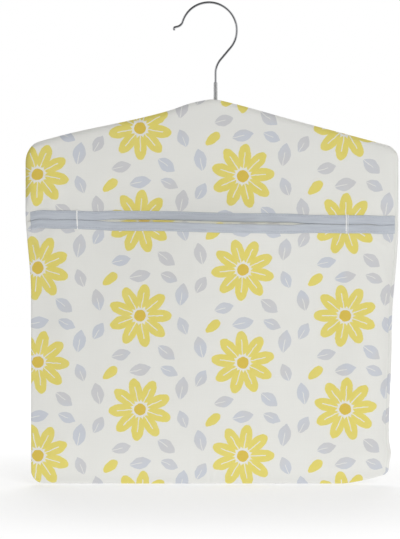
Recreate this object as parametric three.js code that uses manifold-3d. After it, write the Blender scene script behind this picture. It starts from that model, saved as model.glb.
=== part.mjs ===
// Peg bag: a cotton bag with a slit mouth that hangs on a short wooden hanger with a swivelling wire hook.
// Millimetres, +Z up. The front faces -Y, and +X is to the right as seen from the front.
// The origin is the hanging point, on the underside of the hook's crown.
import * as THREE from "three";
import { mergeVertices } from "three/addons/utils/BufferGeometryUtils.js";
import Module from "manifold-3d";

const wasm = await Module();
wasm.setup();
const { degToRad, clamp, smoothstep } = THREE.MathUtils;

// Clearances
const fitGap = 0.3; // between pieces that touch or turn in each other
const seamGap = 0.3; // between the two cloths at a seam

// Hook
const wireDiameter = 2.2;
const crownRadius = 25; // of the wire's centreline
const crownOffset = 5.9; // from the crown's centre to the shank
const crownPastLevel = degToRad(40); // the crown goes this far below level on the shank's side
const crownShortOfLevel = degToRad(17); // and ends this far above level on the tip's side
const shankBendRadius = 18.5;
const shankRise = 24; // straight shank above the bag's peak
const lipBendRadius = 5;
const lipBend = degToRad(47);
const lipLength = 3.5;
const tipCurlRadius = 2;
const tipCurl = degToRad(75);
const rivetDiameter = 4.6; // the head that holds the shank's lower end
const rivetHeight = 1.6;

// Ferrule and washer
const ferruleWall = 0.4;
const ferruleRise = 16; // above the bag's peak
const ferruleTaper = 1.6; // length of its narrowed top
const ferruleSeat = 8; // depth of its seat in the hanger
const washerDiameter = 7;
const washerThickness = 1;
const washerRecess = 1.8; // from the hanger's underside up to the rivet head

// Hanger
const hangerThickness = 10;
const hangerCentreDepth = 26;
const hangerEndDepth = 16;
const hangerEdgeRound = 4; // how far the rounded edges reach in from the outline
const hangerEdgeFlat = 1; // flat left along the middle of a rounded edge
const hangerEase = 1; // between the hanger's end and the side seam

// Bag outline
const bagTopWidth = 336;
const bagBottomWidth = 323;
const bagHeight = 345; // from the peak to the bottom seam
const bagSlip = 3.7; // the bag has slid this far to the left along the hanger
const shoulderSlope = degToRad(15);
const peakRounding = 2.2;
const shoulderCornerWidth = 10;
const shoulderCornerHeight = 12;
const bottomCornerRadius = 12;
const drawInLength = 80; // the sides draw in over this length below the mouth's binding
const sideRoll = 8; // how far in from a side seam the cloth reaches its full depth
const bottomRoll = 10;
const seatDepth = 3; // from the bag's top edge down to the hanger
const hookOpening = 20; // length of the shoulder seam that is left open for the hook

// Cloth
const clothThickness = 0.6;
const seamAllowance = 7;
const seamThickness = 1.1; // both allowances, overlocked together

// Mouth
const mouthDrop = 109.5; // from the peak to the middle of the slit
const mouthGap = 2; // between the two lips, seen from the front
const mouthGape = 14; // how far the lower lip stands out in front at its middle
const tackInset = 46.5; // from the side seams to the bar tacks
const bindingDepth = 7.8;
const bindingThickness = 0.5;
const tackWidth = 1.7;
const tackThickness = 0.8;
const tackOverrun = 0.6; // past the outer edges of the two bindings

// Facets
const wireSides = 10;
const hookSteps = 120;
const roundSides = 24;
const hangerArmSteps = 9;
const rollSteps = 4;
const foldSteps = 4;
const spanColumns = 8;
const openingColumns = 6;
const yokeRows = 4;
const drawInRows = 5;
const pocketRows = 5; // below the part that draws in
const seamSteps = 14;

// Hook places: the crown's centre lies straight below the origin
const wireRadius = wireDiameter / 2;
const shankX = crownOffset;
const crownCentreZ = wireRadius - crownRadius;
const bendShift = shankBendRadius * (1 - Math.cos(crownPastLevel));
const diagonalLength =
  (crownRadius * Math.cos(crownPastLevel) - shankX - bendShift) / Math.sin(crownPastLevel);
const bendTopZ =
  crownCentreZ - crownRadius * Math.sin(crownPastLevel) - diagonalLength * Math.cos(crownPastLevel);
const bendFootZ = bendTopZ - shankBendRadius * Math.sin(crownPastLevel);

// Bag places, from the bag's own frame: x from its centreline, z from its peak
const bagPeakZ = bendFootZ - shankRise;
const bagX = shankX - bagSlip;
const halfTop = bagTopWidth / 2;
const halfBottom = bagBottomWidth / 2;
const tackX = halfTop - tackInset;
const plateauDepth = hangerThickness / 2 + fitGap; // inside of the cloth, from the mid-plane
const shoulderRoll = seatDepth + hangerEdgeRound;
const foldRadius = clothThickness / 2 + fitGap + bindingThickness;
const upperLipZ = -mouthDrop + mouthGap / 2;
const lowerLipZ = -mouthDrop - mouthGap / 2;
const lowerLegZ = lowerLipZ - bindingDepth;
const drawInEndZ = lowerLegZ - drawInLength;

// Hanger places
const slipDrop = Math.abs(bagSlip) * Math.tan(shoulderSlope);
const hangerTopZ = bagPeakZ - seatDepth - slipDrop;
const hangerHalfSpan = halfTop - seamAllowance - fitGap - Math.abs(bagSlip) - hangerEase;
const boreRadius = wireRadius + fitGap;
const ferruleBore = boreRadius;
const ferruleRadius = ferruleBore + ferruleWall;
const washerPocket = washerRecess + rivetHeight + washerThickness + 2 * fitGap;
const hangerUnderZ = hangerTopZ - hangerCentreDepth;
const washerTopZ = hangerUnderZ + washerPocket - fitGap;
const rivetTopZ = washerTopZ - washerThickness - fitGap;

// A closed geometry as a solid, with only its positions kept so that shared vertices merge.
function solidOf(geometry) {
  const bare = geometry.clone();
  bare.deleteAttribute("normal");
  bare.deleteAttribute("uv");
  const merged = mergeVertices(bare, 1e-4);
  return new wasm.Manifold(
    new wasm.Mesh({
      numProp: 3,
      vertProperties: merged.attributes.position.array,
      triVerts: new Uint32Array(merged.index.array),
    }),
  );
}

function geometryOf(solid) {
  const mesh = solid.getMesh();
  const geometry = new THREE.BufferGeometry();
  geometry.setAttribute("position", new THREE.BufferAttribute(mesh.vertProperties, 3));
  geometry.setIndex(new THREE.BufferAttribute(mesh.triVerts, 1));
  geometry.computeVertexNormals();
  return geometry;
}

// An upright cylinder between two heights.
function uprightCylinder(radius, lowZ, highZ) {
  const geometry = new THREE.CylinderGeometry(radius, radius, highZ - lowZ, roundSides);
  geometry.rotateX(Math.PI / 2);
  return geometry.translate(0, 0, (lowZ + highZ) / 2);
}

// A profile of [radius, z] corners turned about the Z axis.
function turned(profile) {
  const points = [...profile, profile[0]].map(([radius, z]) => new THREE.Vector2(radius, z));
  return new THREE.LatheGeometry(points, roundSides).rotateX(Math.PI / 2);
}

// A bent sheet as a closed solid. sheet[column][row] is a pair of points, one on each face.
function sheetSolid(sheet) {
  const rows = sheet[0].length;
  const index = (column, row, face) => 2 * (column * rows + row) + face;
  const triangles = [];
  const quad = (a, b, c, d) => triangles.push(a, b, c, a, c, d);
  for (let i = 0; i < sheet.length; i++) {
    for (let j = 0; j < rows; j++) {
      const lastColumn = i === sheet.length - 1;
      const lastRow = j === rows - 1;
      if (!lastColumn && !lastRow) {
        quad(index(i, j, 0), index(i + 1, j, 0), index(i + 1, j + 1, 0), index(i, j + 1, 0));
        quad(index(i, j + 1, 1), index(i + 1, j + 1, 1), index(i + 1, j, 1), index(i, j, 1));
      }
      if (!lastColumn && j === 0) quad(index(i, 0, 1), index(i + 1, 0, 1), index(i + 1, 0, 0), index(i, 0, 0));
      if (!lastColumn && lastRow) quad(index(i, j, 0), index(i + 1, j, 0), index(i + 1, j, 1), index(i, j, 1));
      if (!lastRow && i === 0) quad(index(0, j, 0), index(0, j + 1, 0), index(0, j + 1, 1), index(0, j, 1));
      if (!lastRow && lastColumn) quad(index(i, j, 1), index(i, j + 1, 1), index(i, j + 1, 0), index(i, j, 0));
    }
  }
  const points = sheet.flat(2);
  const volume = new THREE.Vector3();
  let sum = 0;
  for (let k = 0; k < triangles.length; k += 3) {
    const [a, b, c] = triangles.slice(k, k + 3).map((vertex) => points[vertex]);
    sum += a.dot(volume.crossVectors(b, c));
  }
  if (sum < 0) triangles.reverse();
  const geometry = new THREE.BufferGeometry().setFromPoints(points);
  geometry.setIndex(triangles);
  geometry.computeVertexNormals();
  return geometry;
}

// Steps in from a rolled edge that divide its quarter round evenly.
function rollStations(roll) {
  return Array.from({ length: rollSteps + 1 }, (_, k) => roll * (1 - Math.cos((k / rollSteps) * (Math.PI / 2))));
}

// The values between two ends in even steps, without the first.
function evenSteps(from, to, count) {
  return Array.from({ length: count }, (_, k) => from + ((to - from) * (k + 1)) / count);
}

// Share of its full depth that a rolled edge has reached at a distance from the edge.
function rolled(distance, roll) {
  const left = 1 - clamp(distance / roll, 0, 1);
  return Math.sqrt(1 - left * left);
}

function shoulderLine(x) {
  return peakRounding - Math.hypot(Math.tan(shoulderSlope) * x, peakRounding);
}

// How far a rounded corner falls away from the straight edge that it ends.
function cornerDrop(x, half, width, height) {
  const into = clamp((Math.abs(x) - (half - width)) / width, 0, 1);
  return height * (1 - Math.sqrt(1 - into * into));
}

// The bag's half width at a height: full down to the mouth's lower binding, then drawn in.
function halfWidth(z) {
  return halfTop + (halfBottom - halfTop) * smoothstep(lowerLegZ - z, 0, drawInLength);
}

// The bag's top and bottom edges. u runs from -1 at the left side seam to 1 at the right one.
function topEdge(u) {
  const x = u * halfTop;
  return shoulderLine(x) - cornerDrop(x, halfTop, shoulderCornerWidth, shoulderCornerHeight);
}

function bottomEdge(u) {
  return cornerDrop(u * halfBottom, halfBottom, bottomCornerRadius, bottomCornerRadius) - bagHeight;
}

// Half the width that the two cloths leave at their edge: more round the hook, where the seam is open.
function edgeParting(u, z) {
  const fromHook = (u * halfTop - bagSlip) / (hookOpening / 2);
  if (z < -mouthDrop || Math.abs(fromHook) >= 1) return seamGap / 2;
  return seamGap / 2 + (ferruleRadius + fitGap) * Math.cos((fromHook * Math.PI) / 2) ** 2;
}

// From the bag's mid-plane to the inside of the cloth.
function clothDepth(u, z) {
  const sideDistance = halfWidth(z) * (1 - Math.abs(u));
  const fullness =
    rolled(topEdge(u) - z, shoulderRoll) *
    rolled(sideDistance, sideRoll) *
    rolled(z - bottomEdge(u), bottomRoll);
  return THREE.MathUtils.lerp(edgeParting(u, z), plateauDepth, fullness);
}

// How far the pocket's front stands out between the bar tacks, most at its lip and not at all at the bottom.
function gapeDepth(u, z) {
  const fromMiddle = (u * halfWidth(z)) / tackX;
  if (z > -mouthDrop || Math.abs(fromMiddle) >= 1) return 0;
  const height = (z + bagHeight) / (bagHeight - mouthDrop);
  return mouthGape * height * Math.cos((fromMiddle * Math.PI) / 2) ** 2;
}

// Points in the bag's frame, at an offset outwards from the inside of the front or back cloth.
function frontPoint(u, z, offset) {
  return new THREE.Vector3(u * halfWidth(z), -clothDepth(u, z) - gapeDepth(u, z) - offset, z);
}

function backPoint(u, z, offset) {
  return new THREE.Vector3(u * halfWidth(z), clothDepth(u, z) + offset, z);
}

// The columns that all the cloths share, close together at the side seams and round the hook's opening.
function clothColumns() {
  const rollIn = rollStations(sideRoll).map((distance) => halfTop - distance);
  const openFrom = bagSlip - hookOpening / 2;
  const openTo = bagSlip + hookOpening / 2;
  const rollEnd = halfTop - sideRoll;
  const xs = [
    ...rollIn.map((x) => -x),
    ...evenSteps(-rollEnd, openFrom, spanColumns),
    ...evenSteps(openFrom, openTo, openingColumns),
    ...evenSteps(openTo, rollEnd, spanColumns),
    ...rollIn.reverse().slice(1),
  ];
  return xs.map((x) => x / halfTop);
}
const columns = clothColumns();
const boundColumns = columns.slice(2, -2); // a folded strip stops before the tight roll at a side seam

// A cloth panel: heights(u) gives its rows at a column, and place puts a row's two faces.
function panel(heights, place) {
  return sheetSolid(columns.map((u) => heights(u).map((z) => [place(u, z, clothThickness), place(u, z, 0)])));
}

// Rows from a low to a high edge, close together where that edge is rolled.
function rowHeights(low, high, lowRoll, highRoll, count) {
  const lowRows = lowRoll ? rollStations(lowRoll).map((distance) => low + distance) : [low];
  const highRows = highRoll ? rollStations(highRoll).map((distance) => high - distance) : [high];
  highRows.reverse();
  return [...lowRows, ...evenSteps(low + lowRoll, high - highRoll, count), ...highRows.slice(1)];
}

// Rows where the sides draw in, at the same heights for the cloths and the side seams.
const drawInHeights = evenSteps(drawInEndZ, lowerLegZ, drawInRows);

function pocketHeights(u) {
  return [...rowHeights(bottomEdge(u), drawInEndZ, bottomRoll, 0, pocketRows), ...drawInHeights];
}

function backPanel() {
  const upperHeights = (u) => rowHeights(lowerLegZ, topEdge(u), 0, shoulderRoll, yokeRows).slice(1);
  return panel((u) => [...pocketHeights(u), ...upperHeights(u)], backPoint);
}

function frontYoke() {
  const cutEdge = upperLipZ + foldRadius;
  return panel((u) => rowHeights(cutEdge, topEdge(u), 0, shoulderRoll, yokeRows), frontPoint);
}

function frontPocket() {
  const cutEdge = lowerLipZ - foldRadius;
  return panel((u) => [...pocketHeights(u), cutEdge], frontPoint);
}

// A binding folded round a lip, with one leg on each face of the cloth. towards is 1 if the legs go up.
function binding(lipZ, towards) {
  const centre = lipZ + towards * foldRadius;
  const legEnd = lipZ + towards * bindingDepth;
  const middle = clothThickness / 2;
  const inner = foldRadius - bindingThickness;
  const row = (u, z, side) => [foldRadius, inner].map((r) => frontPoint(u, z, middle + side * r));
  const foldRow = (u, k) => {
    const angle = (k / foldSteps) * Math.PI;
    return [foldRadius, inner].map((r) =>
      frontPoint(u, centre - towards * r * Math.sin(angle), middle + r * Math.cos(angle)),
    );
  };
  return sheetSolid(
    boundColumns.map((u) => [
      row(u, legEnd, 1),
      ...Array.from({ length: foldSteps + 1 }, (_, k) => foldRow(u, k)),
      row(u, legEnd, -1),
    ]),
  );
}

// A bar tack: a close column of stitches across both lips, on the front of the bindings.
function barTack() {
  const length = mouthGap + 2 * (bindingDepth + tackOverrun);
  const round = tackWidth / 2;
  const straight = length / 2 - round;
  const outline = new THREE.Shape();
  outline.absarc(0, straight, round, 0, Math.PI, false);
  outline.absarc(0, -straight, round, Math.PI, 2 * Math.PI, false);
  const geometry = new THREE.ExtrudeGeometry(outline, {
    depth: tackThickness,
    bevelEnabled: false,
    curveSegments: foldSteps,
  });
  geometry.rotateX(Math.PI / 2);
  const faceY = -plateauDepth - clothThickness / 2 - foldRadius - fitGap;
  return geometry.translate(0, faceY, -mouthDrop);
}

// The bag's top or bottom edge as its facets run from column to column.
function faceted(edge, u) {
  const next = columns.findIndex((other) => other > u);
  const from = columns[next - 1];
  const to = columns[next];
  return THREE.MathUtils.mapLinear(u, from, to, edge(from), edge(to));
}

// An overlocked seam inside the bag: a strip in the mid-plane. Each station is a pair of [x, z] points across it.
function seamStrip(stations) {
  const half = seamThickness / 2;
  const pair = ([x, z]) => [new THREE.Vector3(x, -half, z), new THREE.Vector3(x, half, z)];
  return sheetSolid(stations.map((ends) => ends.map(pair)));
}

// The hanger's top edge, from the shank, and the same edge in the bag's frame.
function hangerTop(x) {
  return hangerTopZ + shoulderLine(x);
}

function shoulderSeam(side) {
  const start = bagSlip + (side * hookOpening) / 2;
  const end = bagSlip + side * (hangerHalfSpan - hangerEndDepth / 2);
  const xs = [start, ...evenSteps(start, end, seamSteps)];
  return seamStrip(
    xs.map((x) => {
      const top = faceted(topEdge, x / halfTop) - fitGap;
      const bottom = hangerTop(x - bagSlip) - bagPeakZ + fitGap;
      return [[x, bottom], [x, top]];
    }),
  );
}

function sideSeam(side) {
  const top = topEdge(1) - hangerEndDepth;
  const bottom = bottomCornerRadius + seamAllowance - bagHeight;
  return seamStrip(
    [bottom, drawInEndZ, ...drawInHeights, top].map((z) => {
      const edge = halfWidth(z) - fitGap;
      return [[side * edge, z], [side * (edge - seamAllowance), z]];
    }),
  );
}

function bottomSeam() {
  const reach = 1 - bottomCornerRadius / 2 / halfBottom;
  const us = [-reach, ...evenSteps(-reach, reach, seamSteps)];
  return seamStrip(
    us.map((u) => {
      const edge = faceted(bottomEdge, u) + fitGap;
      return [[u * halfBottom, edge], [u * halfBottom, fitGap + seamAllowance - bagHeight]];
    }),
  );
}

// The wire's centreline from the rivet up the shank, round the crown and out to the curled tip.
function wireLine() {
  const right = Math.PI - crownPastLevel;
  const left = Math.PI - crownShortOfLevel;
  const line = new THREE.Path();
  line.moveTo(shankX, rivetTopZ - rivetHeight / 2);
  line.lineTo(shankX, bendFootZ);
  line.absarc(shankX + shankBendRadius, bendFootZ, shankBendRadius, Math.PI, right, true);
  line.absarc(0, crownCentreZ, crownRadius, -crownPastLevel, left, false);
  const outwards = (angle, radius) => new THREE.Vector2(Math.cos(angle), Math.sin(angle)).multiplyScalar(radius);
  const lipCentre = new THREE.Vector2(0, crownCentreZ).add(outwards(left, crownRadius + lipBendRadius));
  const lipFrom = left - Math.PI;
  const lipTo = lipFrom - lipBend;
  line.absarc(lipCentre.x, lipCentre.y, lipBendRadius, lipFrom, lipTo, true);
  const lipEnd = line.currentPoint.clone().add(outwards(lipTo - Math.PI / 2, lipLength));
  line.lineTo(lipEnd.x, lipEnd.y);
  const curlCentre = lipEnd.clone().add(outwards(lipTo, tipCurlRadius));
  line.absarc(curlCentre.x, curlCentre.y, tipCurlRadius, lipTo + Math.PI, lipTo + Math.PI + tipCurl, false);
  return line;
}

// A flat XZ line as a curve in space.
class UprightCurve extends THREE.Curve {
  constructor(line) {
    super();
    this.line = line;
  }
  getPoint(t, target = new THREE.Vector3()) {
    const point = this.line.getPoint(t);
    return target.set(point.x, 0, point.y);
  }
}

function hook() {
  const section = new THREE.Shape().absarc(0, 0, wireRadius, 0, 2 * Math.PI, false);
  const wire = new THREE.ExtrudeGeometry(section, {
    steps: hookSteps,
    extrudePath: new UprightCurve(wireLine()),
    curveSegments: wireSides / 2,
  });
  const head = uprightCylinder(rivetDiameter / 2, rivetTopZ - rivetHeight, rivetTopZ).translate(shankX, 0, 0);
  return geometryOf(solidOf(wire).add(solidOf(head)));
}

// The ferrule: a tube that stands in the hanger and guides the shank, narrowed at its top.
function ferrule() {
  const foot = hangerTopZ - ferruleSeat + fitGap;
  const top = bagPeakZ + ferruleRise;
  return turned([
    [ferruleBore, foot],
    [ferruleRadius, foot],
    [ferruleRadius, top - ferruleTaper],
    [ferruleBore + ferruleWall / 2, top],
    [ferruleBore, top],
  ]);
}

function washer() {
  const bottom = washerTopZ - washerThickness;
  return turned([
    [boreRadius, bottom],
    [washerDiameter / 2, bottom],
    [washerDiameter / 2, washerTopZ],
    [boreRadius, washerTopZ],
  ]);
}

// The hanger: two sloping arms with rounded ends and edges, bored for the shank, the ferrule and the washer.
function hanger() {
  const armEnd = hangerHalfSpan - hangerEndDepth / 2;
  const depth = (x) => hangerCentreDepth + ((hangerEndDepth - hangerCentreDepth) * Math.abs(x)) / armEnd;
  const xs = [-armEnd, ...evenSteps(-armEnd, 0, hangerArmSteps), ...evenSteps(0, armEnd, hangerArmSteps)];
  const endCentreZ = hangerTop(armEnd) - hangerEndDepth / 2;
  const outline = new THREE.Shape(xs.map((x) => new THREE.Vector2(x, hangerTop(x))));
  outline.absarc(armEnd, endCentreZ, hangerEndDepth / 2, Math.PI / 2, -Math.PI / 2, true);
  xs.reverse().slice(1).forEach((x) => outline.lineTo(x, hangerTop(x) - depth(x)));
  outline.absarc(-armEnd, endCentreZ, hangerEndDepth / 2, -Math.PI / 2, Math.PI / 2, true);
  const board = new THREE.ExtrudeGeometry(outline, {
    depth: hangerEdgeFlat,
    bevelThickness: (hangerThickness - hangerEdgeFlat) / 2,
    bevelSize: hangerEdgeRound,
    bevelOffset: -hangerEdgeRound,
    bevelSegments: rollSteps,
    curveSegments: rollSteps * 2,
  });
  board.rotateX(Math.PI / 2).translate(0, hangerEdgeFlat / 2, 0);
  const past = hangerThickness;
  const shankBore = uprightCylinder(boreRadius, hangerUnderZ - past, hangerTopZ + past);
  const ferruleBoring = uprightCylinder(ferruleRadius + fitGap, hangerTopZ - ferruleSeat, hangerTopZ + past);
  const washerBoring = uprightCylinder(
    washerDiameter / 2 + fitGap,
    hangerUnderZ - past,
    hangerUnderZ + washerPocket,
  );
  const cuts = [shankBore, ferruleBoring, washerBoring].map(solidOf);
  return geometryOf(cuts.reduce((solid, cut) => solid.subtract(cut), solidOf(board)));
}

const chrome = new THREE.MeshStandardMaterial({ color: 0xb9bcc0, roughness: 0.18, metalness: 1 });
const steel = new THREE.MeshStandardMaterial({ color: 0x9a9da1, roughness: 0.35, metalness: 1 });
const wood = new THREE.MeshStandardMaterial({ color: 0xc9a678, roughness: 0.6, metalness: 0 });
const printedCotton = new THREE.MeshStandardMaterial({ color: 0xdfe0da, roughness: 0.9, metalness: 0 });
const boundCotton = new THREE.MeshStandardMaterial({ color: 0xb0b7c2, roughness: 0.9, metalness: 0 });
const whiteThread = new THREE.MeshStandardMaterial({ color: 0xf2f2f0, roughness: 0.8, metalness: 0 });
const seamCotton = new THREE.MeshStandardMaterial({ color: 0xe6e4dc, roughness: 0.9, metalness: 0 });

function named(name, geometry, material) {
  const mesh = new THREE.Mesh(geometry, material);
  mesh.name = name;
  return mesh;
}

const leftTack = named("bar_tack_left", barTack(), whiteThread);
leftTack.position.x = -tackX;
const rightTack = named("bar_tack_right", barTack(), whiteThread);
rightTack.position.x = tackX;

const bag = new THREE.Group();
bag.position.set(bagX, 0, bagPeakZ);
bag.add(
  named("back_panel", backPanel(), printedCotton),
  named("front_yoke", frontYoke(), printedCotton),
  named("front_pocket", frontPocket(), printedCotton),
  named("upper_binding", binding(upperLipZ, 1), boundCotton),
  named("lower_binding", binding(lowerLipZ, -1), boundCotton),
  leftTack,
  rightTack,
  named("shoulder_seam_left", shoulderSeam(-1), seamCotton),
  named("shoulder_seam_right", shoulderSeam(1), seamCotton),
  named("side_seam_left", sideSeam(-1), seamCotton),
  named("side_seam_right", sideSeam(1), seamCotton),
  named("bottom_seam", bottomSeam(), seamCotton),
);

const hangerGroup = new THREE.Group();
hangerGroup.position.x = shankX;
hangerGroup.add(
  named("hanger_bar", hanger(), wood),
  named("hook_ferrule", ferrule(), steel),
  named("hook_washer", washer(), steel),
);

const pegBag = new THREE.Group();
pegBag.add(named("hook", hook(), chrome), hangerGroup, bag);

export default pegBag;
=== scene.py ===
"""Looks of a peg bag: printed cloth, bindings, thread, wire and wood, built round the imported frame."""
import functools
import math

import bpy
import numpy as np
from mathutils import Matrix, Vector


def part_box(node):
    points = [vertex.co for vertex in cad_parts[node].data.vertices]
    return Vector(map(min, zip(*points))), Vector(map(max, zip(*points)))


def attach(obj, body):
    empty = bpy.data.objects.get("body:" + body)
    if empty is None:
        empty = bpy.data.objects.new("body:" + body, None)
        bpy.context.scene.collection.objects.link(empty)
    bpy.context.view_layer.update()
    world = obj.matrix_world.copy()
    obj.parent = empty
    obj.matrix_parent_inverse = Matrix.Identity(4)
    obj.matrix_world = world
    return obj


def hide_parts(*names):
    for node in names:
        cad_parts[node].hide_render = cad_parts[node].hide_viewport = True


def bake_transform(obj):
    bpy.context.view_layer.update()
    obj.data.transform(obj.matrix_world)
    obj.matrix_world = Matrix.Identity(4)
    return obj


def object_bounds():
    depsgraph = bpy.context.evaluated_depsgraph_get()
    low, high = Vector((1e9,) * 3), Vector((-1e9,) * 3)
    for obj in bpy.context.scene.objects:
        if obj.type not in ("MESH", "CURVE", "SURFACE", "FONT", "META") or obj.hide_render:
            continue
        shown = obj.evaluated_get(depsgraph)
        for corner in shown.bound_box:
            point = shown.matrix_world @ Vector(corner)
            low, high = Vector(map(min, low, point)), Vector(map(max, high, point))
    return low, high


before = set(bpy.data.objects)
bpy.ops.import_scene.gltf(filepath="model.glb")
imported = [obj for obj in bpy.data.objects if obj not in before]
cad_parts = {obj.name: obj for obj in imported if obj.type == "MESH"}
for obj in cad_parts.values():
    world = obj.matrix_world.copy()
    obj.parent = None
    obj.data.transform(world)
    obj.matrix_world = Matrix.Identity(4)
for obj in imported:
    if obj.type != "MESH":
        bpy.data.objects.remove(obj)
cad_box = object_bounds()
mm = 0.001

# Places taken from the frame. The bag's own frame has x from its centreline and z from its peak.
back_low, back_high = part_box("back_panel")
BAG_X = (back_low.x + back_high.x) / 2
PEAK_Z = back_high.z
HALF_TOP = (back_high.x - back_low.x) / 2
BAG_HEIGHT = back_high.z - back_low.z
upper_low, upper_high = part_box("upper_binding")
UPPER_LIP = upper_low.z - PEAK_Z
LOWER_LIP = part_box("lower_binding")[1].z - PEAK_Z
MOUTH_Z = (UPPER_LIP + LOWER_LIP) / 2
BINDING_DEPTH = upper_high.z - upper_low.z
TACK_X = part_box("bar_tack_right")[1].x - BAG_X
HANGER_LOW, HANGER_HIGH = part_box("hanger_bar")
SHANK_X = (HANGER_LOW.x + HANGER_HIGH.x) / 2
BAG_SLIP = SHANK_X - BAG_X

# Cloth sizes
CLOTH = 0.6 * mm
BINDING_CLOTH = 0.5 * mm
PLY = 0.42 * mm  # one layer of a seam allowance
SEAM_ALLOWANCE = 7 * mm
PLATEAU = back_high.y - CLOTH  # from the mid-plane to the inside of the cloth
GAPE = 14 * mm  # the lower lip stands out this far at its middle
FLARE, FLARE_REACH = 6 * mm, 16 * mm  # the upper lip turns out a little too
SEAM_PARTING = 0.03 * mm
CREST_PARTING = -0.22 * mm  # over the hanger the cloth turns in to the seam, so its cut edges meet
HOOK_PARTING = 2.1 * mm  # the seam is this much wider open round the hook
HOOK_OPENING = 20 * mm

# Outline, with the small differences between left and right that the hanging bag shows
SHOULDER_SLOPE = math.radians(15)
PEAK_ROUNDING = 2.2 * mm
LEFT_OGEE = 1.8 * mm
OGEE_LENGTH = 188 * mm
# The cloth stands up beside the hook: place, half length and height
LEFT_HUMP = -20 * mm, 12 * mm, 1.05 * mm
RIGHT_SAG = 0.8 * mm
RIGHT_SAG_SPAN = 12 * mm, 80 * mm
LEFT_CORNER = 11 * mm, 14.5 * mm  # length and height of its rounding
RIGHT_CORNER = 9.5 * mm, 10.5 * mm
LEFT_WIDTHS = 167 * mm, 162 * mm  # half widths above and below the part that draws in
RIGHT_WIDTHS = 167.9 * mm, 162 * mm, 159.4 * mm  # on the right it draws in twice
LEFT_DRAW_IN = -98 * mm, -176 * mm
RIGHT_DRAW_INS = (-112 * mm, -208 * mm), (-215 * mm, -300 * mm)
RIGHT_FOOT_BULGE = -318 * mm, 8 * mm, 1.8 * mm  # place, half length and height
SEAM_ROLL = 3 * mm  # the right side seam has rolled this far to the front
SEAM_GROOVE, SEAM_GROOVE_HALF = 0.3 * mm, 0.8 * mm  # depth and half width
LEFT_FOOT_ROUND = 12 * mm
RIGHT_FOOT_ROUND = 5 * mm
RIGHT_FOOT_LIFT = 9 * mm
RIGHT_FOOT_LIFT_LENGTH = 42 * mm
RIGHT_FOOT_LIFT_POWER = 1.4  # it rises more steeply towards the corner
MOUTH_TILT = -1.55 * mm  # at the right side seam
MOUTH_DROP = -0.25 * mm
# Steps of the mouth line: a height, and the places where each starts and ends
MOUTH_STEPS = [
    (-1.35 * mm, -55 * mm, 25 * mm),
    (0.7 * mm, -100 * mm, -130 * mm),
    (-1.8 * mm, -153 * mm, -167 * mm),
]
HALF_GAP = (UPPER_LIP - LOWER_LIP) / 2
LIP_CLOSING = 0.97 * mm  # each lip comes this far across the gap where the mouth is shut
BINDING_SHORT = 4 * mm  # the bindings end this far from the left side seam
OPEN_FROM, OPEN_TO = -104 * mm, 86 * mm
OPENING_EASE = 16 * mm
LIP_WAVE = 0.32 * mm
LIP_WAVE_EASE = 14 * mm  # from the bar tacks outwards
LIP_WAVE_LENGTHS = 6.5 * mm, 3.1 * mm  # of a long wave and of one half as high
TILT_REACH, CLOSING_REACH, WAVE_REACH = 50 * mm, 30 * mm, 12 * mm  # from the mouth up and down


def smooth(t):
    t = np.clip(t, 0, 1)
    return t * t * (3 - 2 * t)


def eased(x, start, end):
    """0 at the start, 1 at the end and smooth between them."""
    return smooth((x - start) / (end - start))


def mix(a, b, share):
    return a + (b - a) * share


def hump(x, place, half_length, height):
    return height * np.exp(-(((x - place) / half_length) ** 2))


def stacked(*parts):
    """Points from their coordinates, which may be single values, rows or columns."""
    return np.stack(np.broadcast_arrays(*parts), axis=-1)


def bag_points(x, y, z):
    """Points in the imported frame, from places in the bag's own frame."""
    return stacked(BAG_X + x, y, PEAK_Z + z)


def turned(x, y, centre_x, centre_y, direction):
    """Distances from a centre along and across a direction in degrees."""
    cos, sin = math.cos(math.radians(direction)), math.sin(math.radians(direction))
    right, up = x - centre_x, y - centre_y
    return right * cos + up * sin, up * cos - right * sin


def rolled(distance, width):
    """Share of its full depth that a rolled edge has at a distance from the edge."""
    left = 1 - np.clip(distance / width, 0, 1)
    return np.sqrt(1 - left * left)


def shoulder(x):
    return PEAK_ROUNDING - np.hypot(math.tan(SHOULDER_SLOPE) * x, PEAK_ROUNDING)


def corner_drop(x, half, size):
    into = np.clip((x - (half - size[0])) / size[0], 0, 1)
    return size[1] * (1 - np.sqrt(1 - into * into))


def half_width(u, z):
    """Half width on the side of u, which runs from -1 at the left side seam to 1 at the right."""
    left = mix(*LEFT_WIDTHS, eased(z, *LEFT_DRAW_IN))
    right = RIGHT_WIDTHS[0]
    for wider, narrower, span in zip(RIGHT_WIDTHS, RIGHT_WIDTHS[1:], RIGHT_DRAW_INS):
        right = right - (wider - narrower) * eased(z, *span)
    return np.where(u < 0, left, right + hump(z, *RIGHT_FOOT_BULGE))


def top_edge(u):
    x = u * HALF_TOP
    ogee = np.where(x < 0, LEFT_OGEE * np.sin(2 * np.pi * np.abs(x) / OGEE_LENGTH), 0)
    left = corner_drop(-x, HALF_TOP, LEFT_CORNER)
    right = corner_drop(x, HALF_TOP, RIGHT_CORNER)
    sag = RIGHT_SAG * eased(x, *RIGHT_SAG_SPAN)
    return shoulder(x) + hump(x, *LEFT_HUMP) - ogee - sag - left - right


def bottom_edge(u):
    left = corner_drop(-u * LEFT_WIDTHS[1], LEFT_WIDTHS[1], (LEFT_FOOT_ROUND, LEFT_FOOT_ROUND))
    x = u * RIGHT_WIDTHS[-1]
    right = corner_drop(x, RIGHT_WIDTHS[-1], (RIGHT_FOOT_ROUND, RIGHT_FOOT_ROUND))
    into = np.clip(1 - (RIGHT_WIDTHS[-1] - x) / RIGHT_FOOT_LIFT_LENGTH, 0, 1)
    return left + right + RIGHT_FOOT_LIFT * into**RIGHT_FOOT_LIFT_POWER - BAG_HEIGHT


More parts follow.
